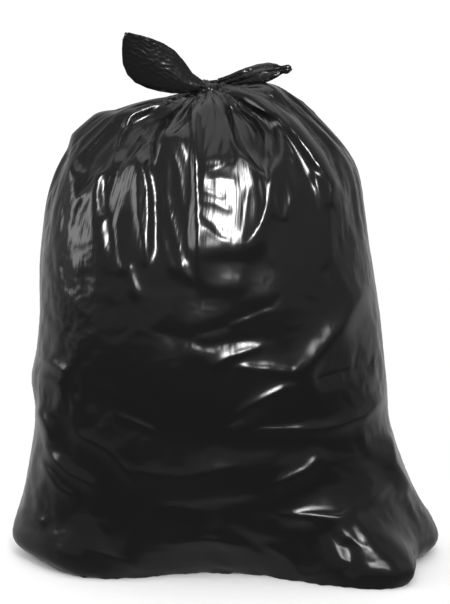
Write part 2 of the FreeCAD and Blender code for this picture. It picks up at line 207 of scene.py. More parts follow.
@dataclass(frozen=True)
class PhotoView:
    """The camera that the photograph's outline asks for, in metres and pixels."""

    distance: float = 2.4
    elevation: float = 8.0
    pixel: float = 0.001457
    frame_wide: float = 450.0
    frame_high: float = 604.0
    target_x: float = 226.0
    target_y: float = 300.0
    target_height: float = 0.375
    sensor: float = 36.0

    def back(self) -> Vector:
        """The way from the bag to the camera."""
        turn = math.radians(self.elevation)
        return Vector((0.0, -math.cos(turn), math.sin(turn)))

    def focal(self) -> float:
        """The focal length in pixels."""
        return self.distance / self.pixel

    def project(self, points: np.ndarray) -> np.ndarray:
        """Where points fall in the photograph, in pixels, one row each."""
        back = np.array(self.back())
        turn = math.radians(self.elevation)
        up = np.array((0.0, math.sin(turn), math.cos(turn)))
        seen = points - np.array((0.0, 0.0, self.target_height))
        depth = self.distance - seen @ back
        across = self.target_x + self.focal() * seen[:, 0] / depth
        down = self.target_y - self.focal() * (seen @ up) / depth
        return np.stack((across, down), axis=1)

    def build(self) -> None:
        """Makes the camera and hands it to the scene."""
        turn = math.radians(self.elevation)
        off_x = (self.frame_wide / 2 - self.target_x) * self.pixel
        off_z = (self.target_y - self.frame_high / 2) * self.pixel
        aim = Vector((off_x, -off_z * math.sin(turn), self.target_height + off_z * math.cos(turn)))
        data = bpy.data.cameras.new("photo_camera")
        data.sensor_fit = "VERTICAL"
        data.sensor_height = self.sensor
        data.lens = self.focal() * self.sensor / self.frame_high
        camera = bpy.data.objects.new("photo_camera", data)
        camera.location = aim + self.back() * self.distance
        camera.rotation_euler = (-self.back()).to_track_quat("-Z", "Y").to_euler()
        bpy.context.scene.collection.objects.link(camera)
        bpy.context.scene.camera = camera


class Nodes:
    """A short way to add and join shader nodes."""

    def __init__(self, tree: bpy.types.NodeTree) -> None:
        """Starts from an empty tree."""
        self.tree = tree
        tree.nodes.clear()

    def add(self, kind: str, values: dict | None = None, **settings: object) -> bpy.types.Node:
        """Adds a node.

        Args:
            kind: the node's type, without its common first word.
            values: plain values or other nodes' sockets, by the name or number of the input socket.
            settings: the node's own properties.

        Returns:
            The node.
        """
        node = self.tree.nodes.new("ShaderNode" + kind)
        for name, value in settings.items():
            setattr(node, name, value)
        for name, value in (values or {}).items():
            if isinstance(value, Socket):
                self.tree.links.new(value, node.inputs[name])
            else:
                node.inputs[name].default_value = value
        return node

    def join(self, operation: str, first: object, second: object) -> Socket:
        """Joins two values by one sum, and gives the result."""
        return self.add("Math", {0: first, 1: second}, operation=operation).outputs[0]

    def passage(self, value: object, reach: tuple, ends: tuple, kind: str = "SMOOTHSTEP") -> Socket:
        """Leads one value over into another.

        Args:
            value: what is read.
            reach: the two readings between which the result changes.
            ends: the result at each of them.
            kind: how it changes between them.

        Returns:
            The result.
        """
        values = {"Value": value}
        values |= dict(zip(("From Min", "From Max", "To Min", "To Max"), reach + ends))
        return self.add("MapRange", values, interpolation_type=kind).outputs["Result"]

    def relief(self, height: object, distance: float, firm: object, under: object = None) -> Socket:
        """Adds fine relief, over other relief where there is some, and gives its normals."""
        values = {"Height": height, "Distance": distance, "Strength": firm}
        if under is not None:
            values["Normal"] = under
        return self.add("Bump", values).outputs["Normal"]

    def reflected_ray(self, path: bpy.types.Node) -> Socket:
        """1 for a ray that comes off a glossy or clear surface, and 0 for any other."""
        return self.join("MAXIMUM", path.outputs["Is Glossy Ray"], path.outputs["Is Transmission Ray"])


@dataclass(frozen=True)
class Wrinkles:
    """One kind of small wrinkle in a finish: its fineness, its height in metres and how firm it looks."""

    scale: float
    height: float
    firm: float
    detail: float
    rough: float
    twist: float = 0.0


CRINKLES = Wrinkles(70.0, 0.0004, 0.15, 3.0, 0.45)
CRUMPLES = Wrinkles(16.0, 0.003, 0.4, 2.0, 0.5, 0.4)


@dataclass(frozen=True)
class BlackFilm:
    """Glossy black polyethylene film, with fine stretch lines and small wrinkles.

    Attributes:
        lines: how many times the stretch lines change on the way round the sheet, and along it.
        line_height: their height in metres.
        lines_reach: heights on the sheet between which they come out.
        lines_firm: how firm they look at each of those heights.
    """

    name: str = "glossy_black_film"
    colour: tuple = (0.0035, 0.0035, 0.0037, 1.0)
    roughness: float = 0.21
    specular: float = 0.5
    ior: float = 1.5
    wrinkles: tuple = (CRINKLES, CRUMPLES)
    lines: tuple = (190.0, 4.5)
    line_height: float = 0.0012
    line_detail: float = 3.0
    lines_reach: tuple = (0.35, 0.7)
    lines_firm: tuple = (0.1, 0.5)

    def build(self) -> bpy.types.Material:
        """Makes the film's material."""
        material = bpy.data.materials.new(self.name)
        material.use_nodes = True
        nodes = Nodes(material.node_tree)
        place = nodes.add("TexCoord").outputs["Object"]
        normal = None
        for kind in self.wrinkles:
            pattern = nodes.add(
                "TexNoise",
                {
                    "Vector": place, "Scale": kind.scale, "Detail": kind.detail,
                    "Roughness": kind.rough, "Distortion": kind.twist,
                },
                noise_type="RIDGED_MULTIFRACTAL",
            )
            normal = nodes.relief(pattern.outputs["Fac"], kind.height, kind.firm, normal)
        sheet = nodes.add("UVMap", uv_map="film_sheet").outputs["UV"]
        drawn = nodes.add("Mapping", {"Vector": sheet, "Scale": self.lines + (1.0,)}).outputs["Vector"]
        lines = nodes.add("TexNoise", {"Vector": drawn, "Scale": 1.0, "Detail": self.line_detail})
        height = nodes.add("SeparateXYZ", {"Vector": sheet}).outputs["Y"]
        upper = nodes.passage(height, self.lines_reach, self.lines_firm, "LINEAR")
        normal = nodes.relief(lines.outputs["Fac"], self.line_height, upper, normal)
        surface = nodes.add(
            "BsdfPrincipled",
            {
                "Base Color": self.colour,
                "Roughness": self.roughness,
                "Specular IOR Level": self.specular,
                "IOR": self.ior,
                "Normal": normal,
            },
        )
        nodes.add("OutputMaterial", {"Surface": surface.outputs["BSDF"]})
        return material


GLOSSY_FILM = BlackFilm()
SMOOTH_FILM = BlackFilm(
    "smooth_black_film", wrinkles=(replace(CRINKLES, firm=0.02), replace(CRUMPLES, firm=0.08))
)


def new_object(name: str, shape: bmesh.types.BMesh) -> bpy.types.Object:
    """Makes a scene object from a finished bmesh, and frees the bmesh."""
    mesh = bpy.data.meshes.new(name)
    shape.to_mesh(mesh)
    shape.free()
    piece = bpy.data.objects.new(name, mesh)
    bpy.context.scene.collection.objects.link(piece)
    return piece


def points_of(mesh: bpy.types.Mesh) -> np.ndarray:
    """A mesh's points, one row each."""
    values = np.zeros(len(mesh.vertices) * 3, np.float32)
    mesh.vertices.foreach_get("co", values)
    return values.reshape(-1, 3).astype(float)


def put_points(mesh: bpy.types.Mesh, points: np.ndarray) -> None:
    """Moves a mesh's points to new places."""
    mesh.vertices.foreach_set("co", points.astype(np.float32).ravel())
    mesh.update()


def dress(piece: bpy.types.Object, material: bpy.types.Material) -> None:
    """Gives a finished piece its material and its place in the frame."""
    piece.data.materials.append(material)
    piece.data.polygons.foreach_set("use_smooth", np.ones(len(piece.data.polygons), bool))
    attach(piece, BODY)
    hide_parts(NODE)


def curve_through(values: np.ndarray, place: np.ndarray, closed: bool) -> np.ndarray:
    """Reads rows of points at places between them, on a smooth curve through them.

    Args:
        values: the points, with the curve along the first axis.
        place: where to read, counted in points.
        closed: whether the last point is followed by the first.

    Returns:
        The points at those places.
    """
    size = len(values)
    base = np.floor(place).astype(int)
    part = (place - base).reshape((-1,) + (1,) * (values.ndim - 1))
    near = []
    for step in (-1, 0, 1, 2):
        index = (base + step) % size if closed else np.clip(base + step, 0, size - 1)
        near.append(values[index])
    a, b, c, d = near
    square, cube = part**2, part**3
    made = (2 * cube - 3 * square + 1) * b + (cube - 2 * square + part) * (c - a) / 2
    return made + (3 * square - 2 * cube) * c + (cube - square) * (d - b) / 2


def finer(grid: np.ndarray, rows: int, columns: int) -> np.ndarray:
    """Reads a closed grid of points at another number of rows and columns.

    Args:
        grid: rows from the foot to the neck, by columns round the bag.
        rows: how many rows of faces the new grid has.
        columns: how many faces go round it.

    Returns:
        The new grid, with one more row of points than of faces.
    """
    tall = curve_through(grid, np.linspace(0, len(grid) - 1, rows + 1), False)
    round_place = np.arange(columns) * grid.shape[1] / columns
    return curve_through(tall.transpose(1, 0, 2), round_place, True).transpose(1, 0, 2)


def smooth_round(grid: np.ndarray, reach: np.ndarray) -> np.ndarray:
    """Evens out a closed grid round the bag, in each row over as many columns as its reach says."""
    wave = np.fft.rfftfreq(grid.shape[1])[None, :, None]
    weight = np.exp(-2 * (math.pi * wave * reach[:, None, None]) ** 2)
    return np.fft.irfft(np.fft.rfft(grid, axis=1) * weight, n=grid.shape[1], axis=1)


def smooth_up(grid: np.ndarray, reach: float) -> np.ndarray:
    """Evens out a grid over some rows from the foot to the neck, and keeps its first and last rows."""
    steps = np.arange(-int(3 * reach), int(3 * reach) + 1)
    weight = np.exp(-0.5 * (steps / reach) ** 2)
    weight /= weight.sum()
    rows = np.arange(len(grid))
    made = np.zeros_like(grid)
    for step, share in zip(steps, weight):
        inside = np.clip(rows + step, 0, len(grid) - 1)
        mirrored = 2 * grid[inside] - grid[np.clip(2 * inside - rows - step, 0, len(grid) - 1)]
        made += share * mirrored
    made[0], made[-1] = grid[0], grid[-1]
    return made


def sizes(ways: np.ndarray) -> np.ndarray:
    """The length of each way in a grid of ways."""
    return np.linalg.norm(ways, axis=2)


def outward(grid: np.ndarray) -> np.ndarray:
    """The outward directions of a closed grid's surface, one at each point."""
    across = np.roll(grid, -1, axis=1) - np.roll(grid, 1, axis=1)
    along = np.gradient(grid, axis=0)
    way = np.cross(across, along)
    return way / np.maximum(np.linalg.norm(way, axis=2, keepdims=True), TINY)


@dataclass
class Filling:
    """What fills the bag: the CAD solid's own surface, read by rays from inside it, in metres.

    Attributes:
        axis_x: the neck's axis, to the right of the frame's own.
        axis_y: the neck's axis, behind the frame's own.
        fan_height: height of the point from which the upper rays fan out.
        fan_share: share of the rays that are level.
        steepest: the climb of the ray to the neck.
        near_neck: the climb past which a ray stops at the neck's height, under the knot.
        neck_height: the height at which such a ray stops.
        rows: steps from the foot to the neck.
        columns: steps round the filling.
        evening: how wide the facets are evened out round the filling, as a share of the way round.
        evening_low: how many times that width it is at the foot, and evening_neck at the neck.
        evening_start: share of the way up where it starts to grow, over evening_run of the way.
        evening_rows: how many rows of it are evened out.
        foot_height: height of the lowest ray.
        far: a length past any hit.
        pleated: the grid read from the solid, with its pleats.
        smooth: the same grid, evened out more.
    """

    axis_x: float = -0.0255
    axis_y: float = 0.0031
    fan_height: float = 0.45
    fan_share: float = 0.6
    steepest: float = math.radians(84.0)
    near_neck: float = math.radians(74.0)
    neck_height: float = 0.671
    rows: int = 200
    columns: int = 480
    evening: float = 0.006
    evening_low: float = 0.3
    evening_neck: float = 2.6
    evening_start: float = 0.55
    evening_run: float = 0.25
    evening_rows: float = 3.0
    foot_height: float = 0.0005
    far: float = 9.0
    pleated: np.ndarray = field(init=False)
    smooth: np.ndarray = field(init=False)

    def __post_init__(self) -> None:
        """Reads a merged copy of the CAD solid, then evens out its rows and columns."""
        shape = bmesh.new()
        shape.from_mesh(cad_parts[NODE].data)
        bmesh.ops.remove_doubles(shape, verts=shape.verts, dist=SAME_POINT)
        tree = BVHTree.FromBMesh(shape)
        shape.free()
        turns = [2 * math.pi * k / self.columns + math.pi / 2 for k in range(self.columns)]
        sides = [(math.cos(turn), math.sin(turn)) for turn in turns]
        rays = []
        for row in range(self.rows + 1):
            start, climb = self.ray(row / self.rows)
            level = math.cos(climb)
            ways = [Vector((x * level, y * level, math.sin(climb))) for x, y in sides]
            reach = (self.neck_height - start.z) / math.sin(climb) if climb > self.near_neck else self.far
            hits = [tree.ray_cast(start, way) for way in ways]
            rays.append([tuple(start + way * min(hit[3], reach)) for hit, way in zip(hits, ways)])
        places = np.array(rays)
        level = np.arange(self.rows + 1) / self.rows
        growth = np.clip((level - self.evening_start) / self.evening_run, 0.0, 1.0)
        width = self.evening_low + (self.evening_neck - self.evening_low) * growth
        even = smooth_up(smooth_round(places, width * self.evening * self.columns), self.evening_rows)
        places = smooth_up(smooth_round(places, width * self.evening * self.columns / 2), self.evening_rows)
        run = sizes(np.diff(even, axis=0)).mean(axis=1)
        along = np.concatenate(([0.0], np.cumsum(run)))
        level = np.interp(np.linspace(0.0, along[-1], self.rows + 1), along, np.arange(self.rows + 1))
        places = curve_through(places, level, False)
        even = curve_through(even, level, False)
        self.pleated = np.empty_like(places)
        self.smooth = np.empty_like(places)
        for row in range(self.rows + 1):
            step = np.linalg.norm(np.roll(even[row], -1, axis=0) - even[row], axis=1)
            run_round = np.concatenate(([0.0], np.cumsum(step)))
            wanted = np.arange(self.columns) * run_round[-1] / self.columns
            column = np.interp(wanted, run_round, np.arange(self.columns + 1))
            self.pleated[row] = curve_through(places[row], column, True)
            self.smooth[row] = curve_through(even[row], column, True)

    def ray(self, share: float) -> tuple[Vector, float]:
        """The start and the climb of the rays at one share of the way from the foot to the neck."""
        low = self.foot_height
        if share < self.fan_share:
            height = low + (self.fan_height - low) * share / self.fan_share
            return Vector((self.axis_x, self.axis_y, height)), 0.0
        part = (share - self.fan_share) / (1 - self.fan_share)
        return Vector((self.axis_x, self.axis_y, self.fan_height)), self.steepest * part


@dataclass
class Settling:
    """Film that takes its own length round the filling, by moving the points of its grid along their edges.

    Attributes:
        smooth: the filling's grid of points.
        way_round: the film's own way round, in metres.
        gather: the most that the film is gathered at the neck, as a share of the way round there.
        gather_start: share of the way from the foot to the neck where the gathering starts.
        least_slack: how much more film than way round there is at least.
        long_slack: how much more film than way up there is.
        sink: how far under the smooth filling the film may sink, at the foot and at the neck.
        stand: how far the film may stand off the filling, at the foot and at the neck.
        neck_start: share of the way up from which those reaches grow to the neck's.
        bend: how firmly the film keeps flat round the bag, and bend_long how firmly up it.
        shear: how firmly its squares keep square.
        cling: share of its distance from the filling that the film loses at each step.
        held: how many rows are held still at the foot and at the neck.
    """

    smooth: np.ndarray
    way_round: float = 1.474
    gather: float = 1.14
    gather_start: float = 0.6
    least_slack: float = 1.004
    long_slack: float = 1.003
    sink: tuple = (0.004, 0.007)
    stand: tuple = (0.006, 0.013)
    neck_start: float = 0.5
    bend: float = 0.06
    bend_long: float = 0.35
    shear: float = 0.35
    cling: float = 0.002
    held: tuple = (1, 2)

    def __post_init__(self) -> None:
        """Works out each edge's own length."""
        grid = self.smooth
        rows, columns = grid.shape[:2]
        self.way = outward(grid)
        cross = np.roll(grid, -1, axis=1) - grid
        girth = sizes(cross).sum(axis=1)
        level = np.linspace(0.0, 1.0, rows)
        gathered = np.clip((level - self.gather_start) / (1 - self.gather_start), 0.0, 1.0)
        most = self.least_slack + (self.gather - self.least_slack) * gathered
        slack = np.clip(self.way_round / girth, self.least_slack, most)[:, None, None]
        cross = cross * slack
        along = np.diff(grid, axis=0) * self.long_slack
        upper = np.clip((level - self.neck_start) / (1 - self.neck_start), 0.0, 1.0)[:, None]
        self.low = -(self.sink[0] + (self.sink[1] - self.sink[0]) * upper)
        self.high = self.stand[0] + (self.stand[1] - self.stand[0]) * upper
        self.free = np.ones((rows, 1, 1))
        self.free[: self.held[0]] = 0.0
        self.free[rows - self.held[1] :] = 0.0
        cross_next = np.roll(cross, -1, axis=1)
        slanted = cross[:-1] + along
        even_rows, odd_rows = np.arange(0, rows - 1, 2), np.arange(1, rows - 1, 2)
        all_rows, all_columns = np.arange(rows), np.arange(columns)
        self.sets = []
        for first in (0, 1):
            picked = np.arange(first, columns, 2)
            self.join(all_rows, picked, 0, 1, sizes(cross), 1.0, False)
        for picked in (even_rows, odd_rows):
            self.join(picked, all_columns, 1, 0, sizes(along), 1.0, False)
            self.join(picked, all_columns, 1, 1, sizes(slanted), self.shear, False)
            back = np.roll(cross, 1, axis=1)[:-1]
            self.join(picked, all_columns, 1, -1, sizes(along - back), self.shear, False)
        for first in (0, 2):
            picked = all_columns[(all_columns - first) % 4 < 2]
            self.join(all_rows, picked, 0, 2, sizes(cross + cross_next), self.bend, True)
            rows_picked = all_rows[:-2][(all_rows[:-2] - first) % 4 < 2]
            double = along[:-1] + along[1:]
            self.join(rows_picked, all_columns, 2, 0, sizes(double), self.bend_long, True)
        for first in (0, 4):
            rows_picked = all_rows[:-4][(all_rows[:-4] - first) % 8 < 4]
            four = double[:-2] + double[2:]
            self.join(rows_picked, all_columns, 4, 0, sizes(four), self.bend_long, True)

    def join(self, rows: np.ndarray, columns: np.ndarray, down: int, over: int, own: np.ndarray,
             firm: float, only_short: bool) -> None:
        """Adds one set of edges that share no point.

        Args:
            rows: the rows of the edges' first points.
            columns: the columns of their first points.
            down: rows from the first to the second point.
            over: columns from the first to the second point.
            own: the edges' own lengths, by the first point's row and column.
            firm: how much of the difference is taken away in one step.
            only_short: whether the edges only push, as stiff film does at a bend.
        """
        total = self.smooth.shape[1]
        first = np.ix_(rows, columns)
        second = np.ix_(rows + down, (columns + over) % total)
        length = own[np.ix_(rows, columns)][:, :, None]
        free_a = np.broadcast_to(self.free[rows], length.shape)
        free_b = np.broadcast_to(self.free[rows + down], length.shape)
        both = np.maximum(free_a + free_b, 1.0)
        self.sets.append((first, second, length, firm * free_a / both, firm * free_b / both, only_short))

    def run(self, points: np.ndarray, steps: int) -> np.ndarray:
        """Lets the film settle.

        Args:
            points: the film's grid as it lies now.
            steps: how many times its edges are brought to their own length.

        Returns:
            The settled grid.
        """
        points = points.copy()
        for _ in range(steps):
            for first, second, length, move_a, move_b, only_short in self.sets:
                a, b = points[first], points[second]
                way = b - a
                now = np.sqrt((way * way).sum(axis=2, keepdims=True))
                off = 1.0 - length / np.maximum(now, TINY)
                if only_short:
                    off = np.minimum(off, 0.0)
                way *= off
                points[first] = a + way * move_a
                points[second] = b - way * move_b
            off = ((points - self.smooth) * self.way).sum(axis=2)
            wanted = np.clip(off * (1 - self.cling), self.low, self.high)
            points += self.way * ((wanted - off)[:, :, None] * self.free)
            points[:, :, 2] = np.maximum(points[:, :, 2], 0.0)
        return points


def creased(grid: np.ndarray, view: PhotoView, creases: tuple, press: float) -> np.ndarray:
    """Moves the front film out and in at its creases.

    Args:
        grid: the film's grid of points.
        view: the photograph's camera.
        creases: the creases, in the photograph's pixels.
        press: share of their height that they get.

    Returns:
        The creased grid.
    """
    way = outward(grid)
    seen = view.project(grid.reshape(-1, 3))
    facing = np.clip((way @ np.array(view.back()) - EDGE_ON) / EDGE_FADE, 0.0, 1.0).ravel()
    moved = np.zeros(len(seen))
    for crease in creases:
        line = np.array(crease.line, float)
        lengths = np.linalg.norm(np.diff(line, axis=0), axis=1)
        ends = np.concatenate(([0.0], np.cumsum(lengths)))
        near = np.full(len(seen), np.inf)
        side = np.zeros(len(seen))
        run = np.zeros(len(seen))
        for start, stop, begun in zip(line, line[1:], ends):
            step = stop - start
            size = math.hypot(*step)
            part = np.clip(((seen - start) @ step) / size**2, 0.0, 1.0)
            off = seen - (start + part[:, None] * step)
            gap = np.hypot(off[:, 0], off[:, 1])
            closer = gap < near
            near[closer] = gap[closer]
            side[closer] = np.sign(step[0] * off[closer, 1] - step[1] * off[closer, 0])
            run[closer] = begun + part[closer] * size
        share = run / ends[-1]
        fade = np.clip(np.minimum(share, 1 - share) * crease.taper, 0.0, 1.0)
        fade = np.where(share < 0.5, np.maximum(fade, crease.open_start), fade)
        off = near / crease.width
        fade = fade * np.clip(crease.tail - off / crease.tail_run, 0.0, 1.0)
        if crease.kind is Fold.LAP:
            off = np.where(side * math.copysign(1.0, crease.height) < 0, off, off * crease.steep)
            moved += abs(crease.height) * fade * np.exp(-off)
        else:
            sign = 1.0 if crease.kind is Fold.RIDGE else -1.0
            moved += sign * crease.height * fade * np.exp(-off)
    return grid + way * (moved * facing * press).reshape(grid.shape[:2])[:, :, None]


@dataclass
class BagFilm:
    """The film round the filling, from under the foot up to the neck.

    Attributes:
        columns: faces round the finished film.
        rows: faces from the foot to the neck.
        stages: rows, columns and steps of each settling, from coarse to fine.
        seed: start of the small unevenness that the folds grow from.
        unevenness: its size in metres, on the coarsest grid.
        press: share of the creases' height that each settling starts with.
        last_press: share of it that is pressed into the settled film.
        back_press: share of it that the back gets, where these creases stand in for its own unseen ones.
        end_rings: size of each ring under the foot and in the knot, as a share of the ring before it.
        middle: a height between the foot and the neck, in metres.
    """

    columns: int = 384
    rows: int = 248
    stages: tuple = ((62, 96, 400), (124, 192, 200), (248, 384, 50))
    seed: int = 7
    unevenness: float = 0.0012
    press: tuple = (1.0, 0.8, 0.8)
    last_press: float = 0.3
    back_press: float = 0.5
    end_rings: tuple = (0.92, 0.7, 0.4)
    middle: float = 0.3

    def tube(self) -> tuple[bpy.types.Object, np.ndarray]:
        """A plain tube of film with a closed foot.

        Returns:
            The tube's object, and for each grid place, rows by columns, the number of its vertex.
        """
        shape = bmesh.new()
        shape.loops.layers.uv.new("film_sheet")
        bmesh.ops.create_grid(shape, x_segments=self.columns, y_segments=self.rows, size=1.0, calc_uvs=True)
        shape.verts.ensure_lookup_table()
        flat = np.array([vert.co[:2] for vert in shape.verts])
        column = np.rint((flat[:, 0] + 1) / 2 * self.columns).astype(int)
        row = np.rint((flat[:, 1] + 1) / 2 * self.rows).astype(int)
        order = np.zeros((self.rows + 1, self.columns + 1), int)
        order[row, column] = np.arange(len(flat))
        seam = {shape.verts[int(a)]: shape.verts[int(b)] for a, b in zip(order[:, -1], order[:, 0])}
        for index, vert in enumerate(shape.verts):
            turn = 2 * math.pi * column[index] / self.columns
            vert.co = (math.cos(turn), math.sin(turn), row[index] / self.rows)
        bmesh.ops.weld_verts(shape, targetmap=seam)
        tube = new_object("bag_film", shape)
        places = points_of(tube.data)
        turn = np.arctan2(places[:, 1], places[:, 0])
        column = np.rint(turn * self.columns / (2 * math.pi)).astype(int) % self.columns
        row = np.rint(places[:, 2] * self.rows).astype(int)
        order = np.zeros((self.rows + 1, self.columns), int)
        order[row, column] = np.arange(len(places))
        return tube, order

    def shut(self, mesh: bpy.types.Mesh) -> None:
        """Closes a tube of film, open at both ends, under the foot and inside the knot."""
        shape = bmesh.new()
        shape.from_mesh(mesh)
        for upper in (False, True):
            rim = [edge for edge in shape.edges if edge.is_boundary]
            edges = [edge for edge in rim if (edge.verts[0].co.z > self.middle) == upper]
            for share in self.end_rings:
                made = bmesh.ops.extrude_edge_only(shape, edges=edges)["geom"]
                verts = [item for item in made if isinstance(item, bmesh.types.BMVert)]
                edges = [item for item in made if isinstance(item, bmesh.types.BMEdge) and item.is_boundary]
                middle = sum((vert.co for vert in verts), Vector()) / len(verts)
                for vert in verts:
                    vert.co = middle + (vert.co - middle) * share
            faces = bmesh.ops.holes_fill(shape, edges=edges, sides=0)["faces"]
            bmesh.ops.poke(shape, faces=faces)
        bmesh.ops.recalc_face_normals(shape, faces=shape.faces)
        shape.to_mesh(mesh)
        shape.free()

    def build(self, filling: Filling, view: PhotoView) -> bpy.types.Object:
        """Makes the film.

        Args:
            filling: what the film lies round.
            view: the photograph's camera, which places the creases.

        Returns:
            The film's object.
        """
        start = time.time()
        random = np.random.default_rng(self.seed)
        current = filling.pleated
        for (rows, columns, steps), press in zip(self.stages, self.press):
            smooth = finer(filling.smooth, rows, columns)
            current = finer(current, rows, columns)
            way = outward(smooth)
            rough = random.normal(0.0, self.unevenness * self.stages[0][1] / columns, smooth.shape[:2])
            current = current + way * rough[:, :, None]
            for panel in PANELS:
                current = panel.press(current, view.project(current.reshape(-1, 3)))
            current = creased(current, view, CREASES, press)
            current = Settling(smooth).run(current, steps)
            log.info("film settled at %d by %d in %.1f s", rows, columns, time.time() - start)
        for panel in PANELS:
            current = panel.press(current, view.project(current.reshape(-1, 3)))
        for turn in (1.0, -1.0):
            side = np.array((turn, turn, 1.0))
            press = self.last_press if turn > 0 else self.back_press
            current = creased(current * side, view, CREASES, press) * side
        tube, order = self.tube()
        points = np.zeros((order.size, 3))
        points[order.ravel()] = current.reshape(-1, 3)
        put_points(tube.data, points)
        self.shut(tube.data)
        log.info("film made in %.1f s", time.time() - start)
        return tube


def closed_film(name: str, grid: np.ndarray, shut: bool) -> bpy.types.Object:
    """Makes a piece from a grid of points that is closed round its columns.

    Args:
        name: the piece's name.
        grid: rows along the piece, by columns round it.
        shut: whether both ends are shut.

    Returns:
        The piece.
    """
    shape = bmesh.new()
    ring = bmesh.ops.create_circle(shape, segments=grid.shape[1], radius=1.0)["verts"]
    first = edges = list(shape.edges)
    for vert, place in zip(ring, grid[0]):
        vert.co = place
    for row in grid[1:]:
        made = bmesh.ops.extrude_edge_only(shape, edges=edges)["geom"]
        edges = [item for item in made if isinstance(item, bmesh.types.BMEdge) and len(item.link_faces) == 1]
        fresh = {item for item in made if isinstance(item, bmesh.types.BMVert)}
        near = [[edge.other_vert(vert) for edge in vert.link_edges] for vert in ring]
        ring = [next(vert for vert in verts if vert in fresh) for verts in near]
        for vert, place in zip(ring, row):
            vert.co = place
    if shut:
        for edge_ring in (first, edges):
            bmesh.ops.holes_fill(shape, edges=edge_ring, sides=0)
    bmesh.ops.recalc_face_normals(shape, faces=shape.faces)
    return new_object(name, shape)


@dataclass
class Ear:
    """One ear: the end of the bag's film, gathered at the knot and open at its far end, in metres.

    Attributes:
        name: the piece's name.
        root: the ear's start beside the knot.
        lift: its rise above level, in degrees.
        swing: its swing to the front, in degrees.
        side: -1 for the left and 1 for the right.
        length: from its root to its tip.
        width: across its widest place.
        thick: between its two plies.
        outline: share of the length, reach above and below its axis as shares of the width, and half
            thickness as a share of the thickness.
        gather: how much more film than way round there is at its root.
        slack: how much more there is at its far end.
        twist: how far the ear turns from its root to its tip, in degrees.
        folds: how many times each of its long folds comes back on the way round.
        fold_height: height of those folds, in metres.
        fold_end: share of it at the far end.
        unevenness: size of the small unevenness, in metres, for a film twice as wide as the way round.
        spare: how much wider the film is than its widest place.
        film: thickness of the film, in metres.
    """

    name: str
    root: tuple
    lift: float
    swing: float
    side: int
    length: float
    width: float
    thick: float
    outline: tuple
    gather: float = 1.15
    slack: float = 1.04
    twist: float = 0.0
    folds: tuple = (2, 3, 5)
    rows: int = 56
    columns: int = 96
    steps: int = 260
    seed: int = 3
    fold_height: float = 0.0022
    fold_end: float = 0.35
    unevenness: float = 0.006
    spare: float = 1.04
    film: float = 0.0005

    def frame(self) -> tuple[np.ndarray, np.ndarray, np.ndarray]:
        """The ear's own directions: along it, across it and through its plies."""
        lift, swing = math.radians(self.lift), math.radians(self.swing)
        level = math.cos(lift)
        along = Vector((self.side * level * math.cos(swing), -level * math.sin(swing), math.sin(lift)))
        through = Vector((0, 0, 1)).cross(along).normalized()
        return np.array(along), np.array(along.cross(through)), np.array(through)

    def smooth_grid(self) -> np.ndarray:
        """The ear without its folds, as a grid of points."""
        along, rise, through = self.frame()
        table = np.array(self.outline)
        share = np.linspace(0.0, 1.0, self.rows + 1)
        above, below, half = (np.interp(share, table[:, 0], table[:, k]) for k in (1, 2, 3))
        above, below, half = above * self.width, below * self.width, half * self.thick
        turns = np.arange(self.columns) * 2 * math.pi / self.columns
        twist = np.radians(self.twist) * share
        turned = np.stack((np.cos(twist), np.sin(twist)), axis=1)
        rings = []
        for k in range(self.rows + 1):
            up = (above[k] - below[k]) / 2 + (above[k] + below[k]) / 2 * np.sin(turns)
            out = half[k] * np.cos(turns)
            cos, sin = turned[k]
            up, out = up * cos - out * sin, up * sin + out * cos
            centre = np.array(self.root) + along * share[k] * self.length
            rings.append(centre + up[:, None] * rise + out[:, None] * through)
        return np.array(rings)

    def build(self) -> bpy.types.Object:
        """Makes the ear."""
        smooth = self.smooth_grid()
        girth = sizes(np.roll(smooth, -1, axis=1) - smooth).sum(axis=1)
        random = np.random.default_rng(self.seed)
        way = outward(smooth)
        wave = np.zeros(self.columns)
        turns = np.arange(self.columns) * 2 * math.pi / self.columns
        for count in self.folds:
            wave += random.normal(0.0, 1.0) * np.cos(count * turns + random.uniform(0, 2 * math.pi)) / 2
        fade = np.linspace(1.0, self.fold_end, self.rows + 1)[:, None]
        rough = random.normal(0, self.unevenness * (self.slack - 1), smooth.shape[:2])
        start = smooth + way * (wave[None, :] * fade * self.fold_height + rough)[:, :, None]
        settling = Settling(
            smooth, way_round=float(girth.max()) * self.spare, gather=self.gather, gather_start=-1.0,
            least_slack=self.slack, long_slack=1.01, sink=(0.004, 0.004), stand=(0.004, 0.005),
            bend=0.08, cling=0.0, held=(2, 0),
        )
        piece = closed_film(self.name, settling.run(start, self.steps), False)
        wall = piece.modifiers.new("film", "SOLIDIFY")
        wall.thickness = self.film
        wall.offset = -1.0
        return piece


